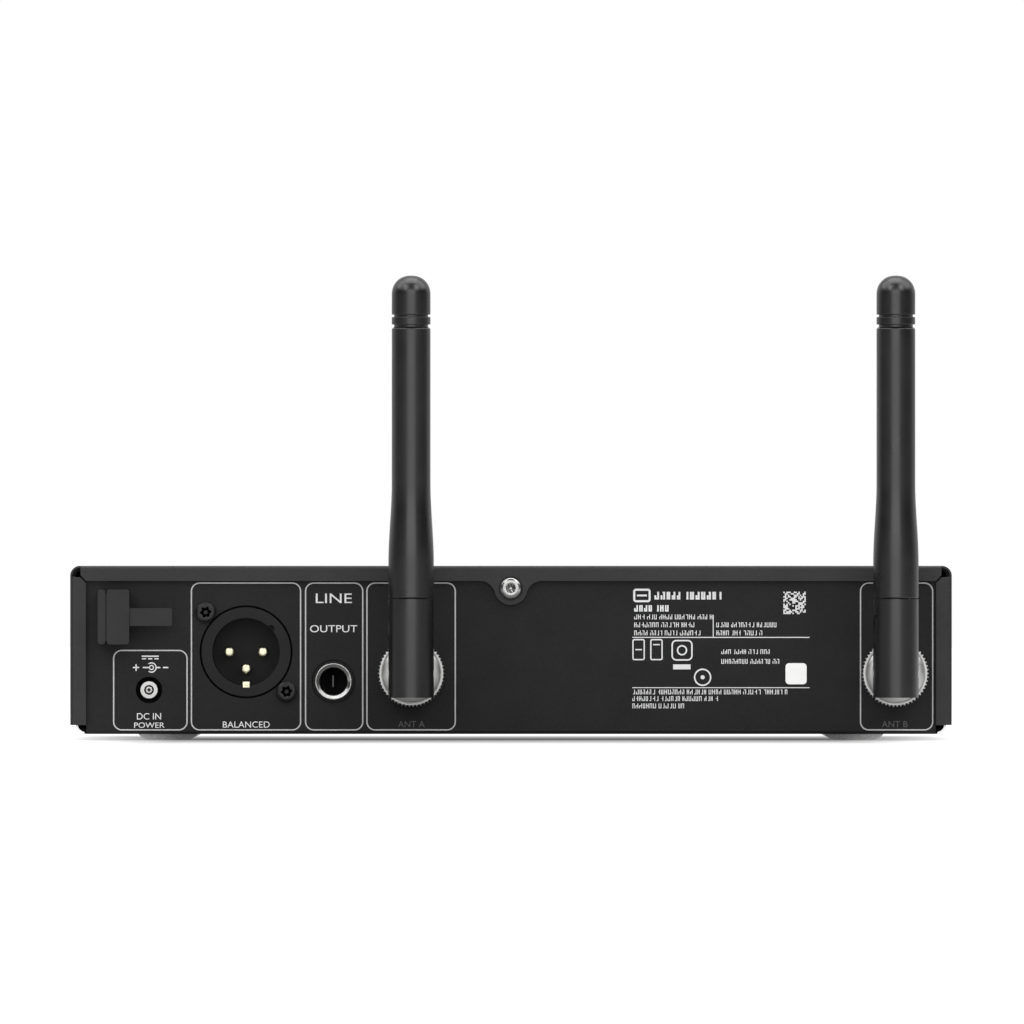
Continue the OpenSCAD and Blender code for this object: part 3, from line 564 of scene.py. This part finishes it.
def xlr_pins():
    """Three pins on one circle, each with a domed tip."""
    lo, hi = low("xlr_pins"), high("xlr_pins")
    r, tip_r = 1.2, 0.6
    bm = bmesh.new()
    tip = [(0, lo.y), (r, lo.y, 0.1)]
    for a in range(0, 91, 9):
        turn = math.radians(a)
        tip.append((r - tip_r + tip_r * math.cos(turn), hi.y - tip_r + tip_r * math.sin(turn)))
    tip.append((0, hi.y))
    for x, z in ((lo.x + r, hi.z - r), (hi.x - r, hi.z - r), ((lo.x + hi.x) / 2, lo.z + r)):
        turned(bm, eased(tip), (x, 0, z), "Y", 48)
    stand_in("xlr_pins", bm)


def screw(bm, at, seat, tip, head_r, head_h, shank_r, recess_r, deep, recess, turn_deg):
    """A domed screw along Y; recess(angle) is the share of recess_r that the drive's outline reaches."""
    top, turn = seat + head_h, math.radians(turn_deg)
    rim_r, dome_tall = recess_r + 0.1, 0.55

    def wave(angle, radius, along):
        inside = along > seat + 0.1 and radius <= recess_r
        return radius * recess(angle + turn) if inside else radius

    corners = [(0, tip), (shank_r - 0.3, tip, 0.05), (shank_r, tip + 0.4, 0.05), (shank_r, seat, 0.05),
               (head_r, seat, 0.05)]
    for k in range(11):
        a = math.radians(8 * k)
        r = rim_r + (head_r - rim_r) * math.cos(a)
        corners.append((r, top - dome_tall + dome_tall * math.sin(a)))
    corners += [(recess_r, top - 0.05), (0.93 * recess_r, top - 0.6 * deep), (0.35 * recess_r, top - deep),
                (0, top - deep)]
    turned(bm, eased(corners), (at[0], 0, at[1]), "Y", 96, wave)


def cross_drive(angle):
    """Four wings with a small tick between each two."""
    half_wing, tick_reach, tick_from_deg = 0.27, 0.62, 39
    off = abs((math.degrees(angle) + 45) % 90 - 45)
    wing = min(1, half_wing / max(0.001, math.sin(math.radians(off))))
    return max(wing, tick_reach if off > tick_from_deg else 0)


def lobed_drive(angle):
    """Six round lobes."""
    lobe = 0.13
    return 1 - lobe + lobe * math.cos(6 * angle)


def screws():
    head_h = 1.9
    lo, hi, at = low("cover_screw"), high("cover_screw"), middle("cover_screw")
    bm = bmesh.new()
    screw(bm, (at.x, at.z), seat=hi.y - head_h, tip=lo.y, head_r=2.5, head_h=head_h, shank_r=1.5,
          recess_r=1.2, deep=1.0, recess=cross_drive, turn_deg=17)
    stand_in("cover_screw", bm)
    lo, hi, r = low("xlr_screws"), high("xlr_screws"), 2.45
    bm = bmesh.new()
    for x, z in ((lo.x + r, lo.z + r), (hi.x - r, hi.z - r)):
        screw(bm, (x, z), seat=hi.y - head_h, tip=lo.y, head_r=r, head_h=head_h, shank_r=1.45,
              recess_r=1.4, deep=2.6, recess=lobed_drive, turn_deg=8)
    stand_in("xlr_screws", bm)


# ---- printing on the rear panel and the front ----
class Print:
    """Flat shapes with a little thickness on one face of the case, placed in millimetres in X and Z."""

    def __init__(self, name, face_y, outwards, body, thick=0.03, shift=(0, 0)):
        self.name, self.body, self.out, self.shift = name, body, outwards, shift
        self.bm = bmesh.new()
        self.under, self.over = face_y - outwards * 0.01, face_y + outwards * thick

    def shape(self, points, hole=None):
        """A filled outline; with a hole of as many points it is the band between the two."""
        dx, dz = self.shift
        rings = [[self.bm.verts.new(Vector((x + dx, y, z + dz)) * MM) for x, z in ring]
                 for y in (self.under, self.over) for ring in ([points, hole] if hole else [points])]
        count = len(points)
        if hole:
            walls = ((rings[0], rings[2]), (rings[3], rings[1]), (rings[2], rings[3]), (rings[1], rings[0]))
        else:
            walls = ((rings[0], rings[1]),)
            self.bm.faces.new(rings[0])
            self.bm.faces.new(rings[1])
        for one, two in walls:
            for k in range(count):
                self.bm.faces.new((one[k], one[(k + 1) % count], two[(k + 1) % count], two[k]))

    def bar(self, x0, x1, z0, z1):
        self.shape([(x0, z0), (x1, z0), (x1, z1), (x0, z1)])

    def frame(self, x0, x1, z0, z1, round_mm, line):
        self.shape(round_outline(x0, x1, z0, z1, round_mm),
                   round_outline(x0 + line, x1 - line, z0 + line, z1 - line, round_mm - line))

    def ring(self, x, z, r_in, r_out, start=0.0, sweep=360.0):
        steps = 40
        angles = [math.radians(start + sweep * k / steps) for k in range(steps + (sweep < 360))]
        outer = [(x + r_out * math.cos(a), z + r_out * math.sin(a)) for a in angles]
        inner = [(x + r_in * math.cos(a), z + r_in * math.sin(a)) for a in angles]
        if sweep < 360:
            self.shape(outer + inner[::-1])
        else:
            self.shape(outer, inner)

    def dot(self, x, z, r):
        turns = [k * math.pi / 10 for k in range(20)]
        self.shape([(x + r * math.cos(a), z + r * math.sin(a)) for a in turns])

    def word(self, text, x, z, height, wide=1.0):
        """A plain word centred at x, its feet at z."""
        curve = bpy.data.curves.new("word", "FONT")
        curve.body, curve.size, curve.align_x = text, height * MM / 0.7, "CENTER"
        curve.extrude = (abs(self.over - self.under)) * MM / 2
        holder = bpy.data.objects.new("word", curve)
        mesh = bpy.data.meshes.new_from_object(holder)
        across = -self.out
        turn = Matrix(((across * wide, 0, 0, x * MM), (0, 0, self.out, (self.over + self.under) / 2 * MM),
                       (0, 1, 0, z * MM), (0, 0, 0, 1)))
        mesh.transform(turn)
        self.bm.from_mesh(mesh)
        bpy.data.objects.remove(holder)
        bpy.data.curves.remove(curve)
        bpy.data.meshes.remove(mesh)

    def strokes(self, x, end, z0, z1, rng, line=0.17):
        """A row of plain upright and level strokes, in groups, that only looks like small print from afar."""
        step = math.copysign(1, end - x)
        size = z1 - z0
        left = rng.randint(3, 8)
        while (end - x) * step > size * 0.6:
            wide = size * rng.uniform(0.42, 0.62)
            near, far = sorted((x, x + step * wide))
            self.bar(near, near + line, z0, z1)
            if rng.random() < 0.7:
                self.bar(far - line, far, z0, z0 + size * rng.choice((0.55, 1.0)))
            level = z0 + rng.choice((0, 0.45, 0.85)) * size
            self.bar(near + line, far - line, level, min(z1, level + line))
            x += step * (wide + size * 0.2)
            left -= 1
            if left == 0:
                x += step * size * 0.35
                left = rng.randint(3, 8)

    def finish(self, make=print_ink):
        as_piece(self.name, self.bm, skin(make), self.body)


def round_outline(x0, x1, z0, z1, r, steps=8):
    """A rectangle with round corners, as a list of points that runs once round it."""
    points = []
    centres = ((x1 - r, z1 - r), (x0 + r, z1 - r), (x0 + r, z0 + r), (x1 - r, z0 + r))
    for start, (cx, cz) in zip((0, 90, 180, 270), centres):
        for k in range(steps + 1):
            a = math.radians(start + 90 * k / steps)
            points.append((cx + r * math.cos(a), cz + r * math.sin(a)))
    return points


def socket_print():
    outline = Print("rear_outline_print", PANEL_Y, 1, "chassis")
    low_z, high_z, corner, line = 2.3, 37.9, 2.1, 0.3
    outline.frame(77.75, 95.7, low_z, 21.7, corner, line)
    for x0, x1 in ((50.45, 77.0), (35.5, 49.55), (13.25, 34.8), (-101.55, -83.9)):
        outline.frame(x0, x1, low_z, high_z, corner, line)
    outline.finish(grey_ink)
    ink = Print("rear_socket_print", PANEL_Y, 1, "chassis")
    jack_x, xlr_x, dc_x = middle("jack_ferrule").x, middle("xlr_pins").x, middle("dc_pin").x
    ink.word("LINE", jack_x, 32.95, 2.35, 1.35)
    ink.word("OUTPUT", jack_x, 25.95, 1.7, 1.2)
    ink.word("BALANCED", xlr_x, 3.0, 1.5, 1.05)
    ink.word("DC IN", dc_x, 4.95, 1.55)
    ink.word("POWER", dc_x, 2.95, 1.3, 1.15)
    polarity_mark(ink, dc_x - 0.6, 17.45)
    direct_current_mark(ink, dc_x - 0.3, 19.9)
    ink.finish()
    dim = Print("rear_antenna_print", PANEL_Y, 1, "chassis")
    for tag in TAGS:
        dim.word("ANT " + tag.upper(), middle(f"coupling_nut_{tag}").x, 3.1, 1.5)
    dim.finish(dim_ink)


def polarity_mark(ink, x, z):
    """Plus and minus on either side of an open ring with a smaller one in it, as for a barrel plug."""
    half = 0.16
    ink.bar(x + 2.95, x + 4.45, z - half, z + half)
    ink.bar(x + 3.54, x + 3.86, z + half, z + 0.8)
    ink.bar(x + 3.54, x + 3.86, z - 0.8, z - half)
    ink.bar(x + 0.6, x + 2.1, z - half, z + half)
    ink.ring(x, z, 0.36, 0.62)
    ink.ring(x, z, 0.98, 1.25, 52, 256)
    ink.bar(x - 2.1, x - 1.2, z - half, z + half)
    ink.bar(x - 4.05, x - 2.75, z - half, z + half)


def direct_current_mark(ink, x, z):
    ink.bar(x - 2.05, x + 2.05, z + 0.1, z + 0.42)
    for k in (-1, 0, 1):
        ink.bar(x + k * 1.5 - 0.5, x + k * 1.5 + 0.5, z - 0.5, z - 0.2)


def rating_print():
    """A block of plain strokes, rules and empty frames where such a panel carries its small print."""
    rng = random.Random(7)
    ink = Print("rear_rating_print", PANEL_Y, 1, "chassis", shift=(-0.28, 0.2))
    ink.frame(-33.3, -29.1, 32.95, 36.2, 0.7, 0.5)
    ink.bar(-32.4, -30.0, 34.35, 34.8)
    ink.strokes(-34.2, -50.7, 33.6, 35.45, rng, 0.45)
    ink.strokes(-29.35, -38.7, 30.7, 32.25, rng, 0.36)
    ink.strokes(-29.35, -48.4, 28.85, 30.0, rng)
    ink.strokes(-29.35, -44.3, 26.95, 28.1, rng)
    ink.strokes(-29.35, -46.1, 25.0, 26.15, rng)
    ink.strokes(-49.1, -63.8, 26.95, 28.1, rng)
    ink.strokes(-49.1, -60.9, 25.0, 26.15, rng)
    ink.bar(-48.45, -48.25, 24.5, 29.9)
    ink.bar(-71.5, -28.9, 24.38, 24.6)
    empty_marks(ink)
    ink.strokes(-50.3, -62.6, 20.5, 21.6, rng)
    ink.strokes(-50.3, -64.3, 18.15, 19.3, rng)
    ink.bar(-71.5, -28.9, 12.3, 12.5)
    ink.strokes(-28.9, -66.9, 10.8, 11.95, rng)
    ink.strokes(-28.9, -49.6, 9.2, 10.35, rng)
    ink.strokes(-28.9, -42.0, 7.45, 8.6, rng)
    cell_square(ink, rng, -70.6, 30.1, 5.4)
    ink.finish()


def empty_marks(ink):
    """Plain frames, bars and rings where such a panel carries its approval marks."""
    ink.frame(-31.9, -28.9, 19.0, 24.1, 0.5, 0.3)
    ink.bar(-31.2, -29.6, 21.4, 21.7)
    ink.frame(-36.2, -33.2, 19.0, 24.1, 0.5, 0.3)
    ink.bar(-35.5, -33.9, 22.6, 22.9)
    ink.frame(-43.4, -38.3, 18.9, 23.9, 1.2, 0.35)
    ink.ring(-40.85, 21.4, 0.9, 1.25)
    ink.bar(-42.9, -38.7, 16.8, 18.0)
    ink.ring(-45.8, 14.9, 1.75, 2.1)
    ink.dot(-45.8, 14.9, 0.5)


def cell_square(ink, rng, x, z, size, count=15):
    """A square of cells filled at random, which carries no data."""
    step = size / count
    for row in range(count):
        for column in range(count):
            if rng.random() < 0.5:
                left, foot = x + column * step, z + row * step
                ink.bar(left, left + step * 0.97, foot, foot + step * 0.97)


def front_print():
    ink = Print("front_print", BEZEL_Y, -1, "chassis")
    key_x, key_z = middle("sync_button").x, middle("sync_button").z
    ink.word("SYNC", key_x, key_z + 4.3, 1.7, 1.1)
    ink.word("ESC", key_x, middle("escape_button").z - 6.2, 1.7, 1.1)
    ink.word("POWER", middle("power_button").x, middle("power_button").z - 8.7, 1.6, 1.1)
    dial, dial_r = middle("control_knob"), 15.6
    for k in range(11):
        angle = math.radians(-60 + 30 * k)
        ink.dot(dial.x + dial_r * math.cos(angle), dial.z + dial_r * math.sin(angle), 0.3)
    ink.finish()
    button = middle("power_button")
    mark = Print("power_mark", low("power_button").y, -1, "power_button")
    mark.ring(button.x, button.z, 1.6, 2.0, 122, 296)
    mark.bar(button.x - 0.2, button.x + 0.2, button.z + 0.4, button.z + 2.3)
    mark.finish()


# ---- front controls ----
def knob():
    """A turned knob with flutes round its side, and a white pointer line across its face."""
    lo, hi, at = low("control_knob"), high("control_knob"), middle("control_knob")
    r, flutes = hi.x - at.x, 36
    deep, start, end, fade = 0.42, 2.1, 10.6, 0.5
    edge_r, face_sunk, bore_r, bore_deep = 1.1, 0.5, 5, 3

    def flute(angle, radius, along):
        back = along - lo.y
        if radius < r - 0.02 or not start < back < end:
            return radius
        share = max(0, math.cos(flutes * angle)) ** 2
        ends = min(1, (back - start) / fade, (end - back) / fade)
        return radius - deep * share * max(0, ends)

    corners = [(0, lo.y + face_sunk), (r - 2.7, lo.y + face_sunk, 0.3), (r - 2.3, lo.y, 0.25),
               (r - edge_r, lo.y, 0.4)]
    for a in range(15, 91, 15):
        turn = math.radians(a)
        corners.append((r - edge_r + edge_r * math.sin(turn), lo.y + edge_r - edge_r * math.cos(turn)))
    corners += [(r, lo.y + start + fade * k) for k in range(18)]
    corners += [(r, hi.y - 0.2), (r - 0.2, hi.y), (bore_r, hi.y), (bore_r, hi.y - bore_deep),
                (0, hi.y - bore_deep)]
    bm = bmesh.new()
    turned(bm, eased(corners), (at.x, 0, at.z), "Y", flutes * 8, flute)
    stand_in("control_knob", bm)
    pointer = Print("knob_pointer", lo.y + face_sunk, -1, "knob")
    pointer.shape(round_outline(at.x - 0.35, at.x + 0.35, at.z + 3.6, at.z + 8.7, 0.34))
    pointer.finish()


def feet():
    """Round feet, each with a shallow cup in its sole."""
    lo, hi = low("feet"), high("feet")
    r, tall = 7.1, hi.z - lo.z
    bm = bmesh.new()
    corners = [(0, 0.25), (3.9, 0.22, 0.3), (4.6, 0, 0.3), (r - 1.9, 0, 0.6), (r - 0.5, 0.5 * tall, 0.8),
               (r, 0.85 * tall, 0.3), (r, tall, 0.02), (0, tall)]
    for x in (lo.x + r, hi.x - r):
        for y in (lo.y + r, hi.y - r):
            turned(bm, eased(corners), (x, y, lo.z), "Z", 64)
    stand_in("feet", bm)


def tray():
    """The tray keeps bare metal where its corner bends were cut."""
    piece = refined("base_tray", 0.12)
    piece.data.materials.append(skin(bare_edge))
    out, corner_wide, cut_deep, slack = high("base_tray").x, 2.2, 0.5, 0.25
    for face in piece.data.polygons:
        centre = face.center / MM
        at_corner = abs(centre.x) > out - corner_wide and abs(centre.y - PANEL_Y + cut_deep) < slack
        if face.normal.y > 0.7 and at_corner:
            face.material_index = 1


dress_nodes()
tray()
refined("top_cover", 0.2)
refined("cable_hook", 0.7, segments=4)
refined("front_bezel", 0.15)
refined("xlr_housing", 0.12)
for node in ("power_button", "sync_button", "escape_button"):
    refined(node, 0.3, segments=3)
for node in ("display_window", "bnc_panel_nuts", "xlr_ground_contact", "press_nuts"):
    refined(node, 0.1)
for node in ("blank_sticker", "status_light_pipes", "bnc_sockets"):
    refined(node, 0.04)
for tag in TAGS:
    sleeve(tag)
    coupling_nut(tag)
    refined(f"antenna_base_{tag}", 0.18, segments=3)
    for node in (f"knuckle_{tag}", f"hinge_pin_{tag}"):
        refined(node, 0.15)
jack_ferrule()
power_contacts()
xlr_pins()
screws()
knob()
feet()
socket_print()
rating_print()
front_print()


# ---- stage ----
def camera():
    """Far off and low, looking at the rear panel. view_wide is what the picture spans at the rear flanges."""
    distance, eye_z, aim_z, aside = 7500.0, 36.0, 54.84, -0.24
    sensor, view_wide = 36, 246.2
    data = bpy.data.cameras.new("camera")
    data.sensor_width = sensor
    data.lens = sensor * distance / view_wide
    data.clip_start, data.clip_end = 0.1, 100
    eye = bpy.data.objects.new("camera", data)
    place, target = Vector((aside, REAR_Y + distance, eye_z)) * MM, Vector((aside, REAR_Y, aim_z)) * MM
    eye.location = place
    eye.rotation_euler = (target - place).to_track_quat("-Z", "Y").to_euler()
    bpy.context.scene.collection.objects.link(eye)
    bpy.context.scene.camera = eye


def area_light(name, place, target, size, radiance):
    """A soft box whose face has the given brightness, where the white background has 1."""
    data = bpy.data.lights.new(name, "AREA")
    data.shape = "RECTANGLE"
    data.size, data.size_y = size
    data.energy = radiance * math.pi * size[0] * size[1]
    light = bpy.data.objects.new(name, data)
    light.location = place
    light.rotation_euler = (Vector(target) - Vector(place)).to_track_quat("-Z", "Y").to_euler()
    light.visible_camera = False
    bpy.context.scene.collection.objects.link(light)


def world():
    """White where the camera sees it.

    As a light it is strong on the side of the object's front, weaker on the camera's side and faint
    everywhere else.
    """
    scene_world = bpy.data.worlds.new("studio")
    bpy.context.scene.world = scene_world
    scene_world.use_nodes = True
    tree = scene_world.node_tree

    def ramp(value, start, end, end_out):
        node = tree.nodes.new("ShaderNodeMapRange")
        node.inputs["From Min"].default_value = start
        node.inputs["From Max"].default_value = end
        node.inputs["To Max"].default_value = end_out
        tree.links.new(value, node.inputs["Value"])
        return node.outputs["Result"]

    def plus(one, two):
        node = tree.nodes.new("ShaderNodeMath")
        for k, value in enumerate((one, two)):
            if isinstance(value, float):
                node.inputs[k].default_value = value
            else:
                tree.links.new(value, node.inputs[k])
        return node.outputs["Value"]

    back = tree.nodes["Background"]
    back.inputs["Color"].default_value = (1, 1, 1, 1)
    coords = tree.nodes.new("ShaderNodeTexCoord")
    split = tree.nodes.new("ShaderNodeSeparateXYZ")
    tree.links.new(coords.outputs["Generated"], split.inputs[0])
    behind = ramp(split.outputs["Y"], 0.0, -0.5, 0.85)
    ahead = ramp(split.outputs["Y"], 0.5, 1.0, 0.3)
    everywhere = 0.06
    total = plus(plus(behind, ahead), everywhere)
    seen = tree.nodes.new("ShaderNodeLightPath")
    pick = tree.nodes.new("ShaderNodeMix")
    pick.inputs["B"].default_value = 1.0
    tree.links.new(seen.outputs["Is Camera Ray"], pick.inputs["Factor"])
    tree.links.new(total, pick.inputs["A"])
    tree.links.new(pick.outputs["Result"], back.inputs["Strength"])


def floor():
    """A pale floor that glows round the object, so that the picture runs out into white.

    Its colour is darker under and close round the object, a painted shadow, and it glows least just in front
    of the rear panel, on the camera's side, which paints the shade there. Under the case its glow is painted
    light.
    The glow ends 0.4 to 0.7 m to either side. Distances are in metres.
    """
    bm = bmesh.new()
    bmesh.ops.create_grid(bm, x_segments=1, y_segments=1, size=12)
    graph = Graph("floor_white")
    grain = graph.noise(4.0)
    axes = graph.add("ShaderNodeSeparateXYZ")
    graph.join(graph.place, axes.inputs[0])
    across, along = graph.arithmetic("ABSOLUTE", axes.outputs["X"]), axes.outputs["Y"]

    def rise(value, start, end, most=1.0):
        return graph.spread(value, 0.0, most, start, end)

    def fall(value, start, end):
        return graph.spread(value, 1.0, 0.0, start, end)

    def both(one, two):
        return graph.arithmetic("MULTIPLY", one, two)

    def brighter(one, two):
        return graph.arithmetic("MAXIMUM", one, two)

    away = brighter(across, graph.arithmetic("ABSOLUTE", along))
    # Painted shadow: the floor's colour is darkest within about 0.1 m of the object and pales out by 0.34 m.
    shadowed_paleness = graph.spread(away, 0.15, 0.4, 0.1, 0.34)
    graph.to("Base Color", both(shadowed_paleness, graph.spread(grain, 0.97, 1.03)))
    graph.set(rough=0.8, specular=0.05)
    graph.shader.inputs["Emission Color"].default_value = (1, 1, 1, 1)
    # The glow beside, at the ends and ahead makes the floor white, but it stays low close to the object.
    # Together with the darker colour, this paints the object's shadow on the floor.
    beside = both(rise(across, 0.075, 0.108, most=0.9), fall(across, 0.12, 0.4))
    ends = brighter(fall(along, -0.4, -0.15), rise(along, 0.5, 2.0))
    lane = both(ends, fall(across, 0.4, 0.7))
    ahead = both(rise(along, 0.1, 0.34, most=0.5), fall(across, 0.2, 0.6))
    # Under the case the glow is painted light coming through the gap beneath it, strongest towards the front
    # edge. The low glow left at the rear panel and in front of it is painted shade.
    under = graph.spread(along, 0.76, 0.14, -0.17, 0.03)
    under_glow_and_shade = both(under, fall(across, 0.2, 0.5))
    graph.to("Emission Strength", brighter(brighter(beside, under_glow_and_shade), brighter(lane, ahead)))
    as_piece("floor", bm, graph.material)


def lights():
    for side, name in ((-1, "left"), (1, "right")):
        area_light("soft_box_" + name, (side * 1.2, 0.1, 1.3), (0, 0, 0), size=(1.3, 1.3), radiance=2.6)
        area_light("key_box_" + name, (side * 1.15, 1.5, 1.55), (0, 0, 0), size=(0.95, 1.15), radiance=4.5)
    area_light("top_box", (0.0, 0.0, 1.5), (0, 0, 0), size=(1.2, 1.2), radiance=3.6)
    area_light("front_strip", (0.0, 3.2, 0.75), (0, 0, 0.05), size=(2.8, 1.7), radiance=2.3)


camera()
world()
lights()
floor()
bpy.context.scene.view_settings.view_transform = "Standard"
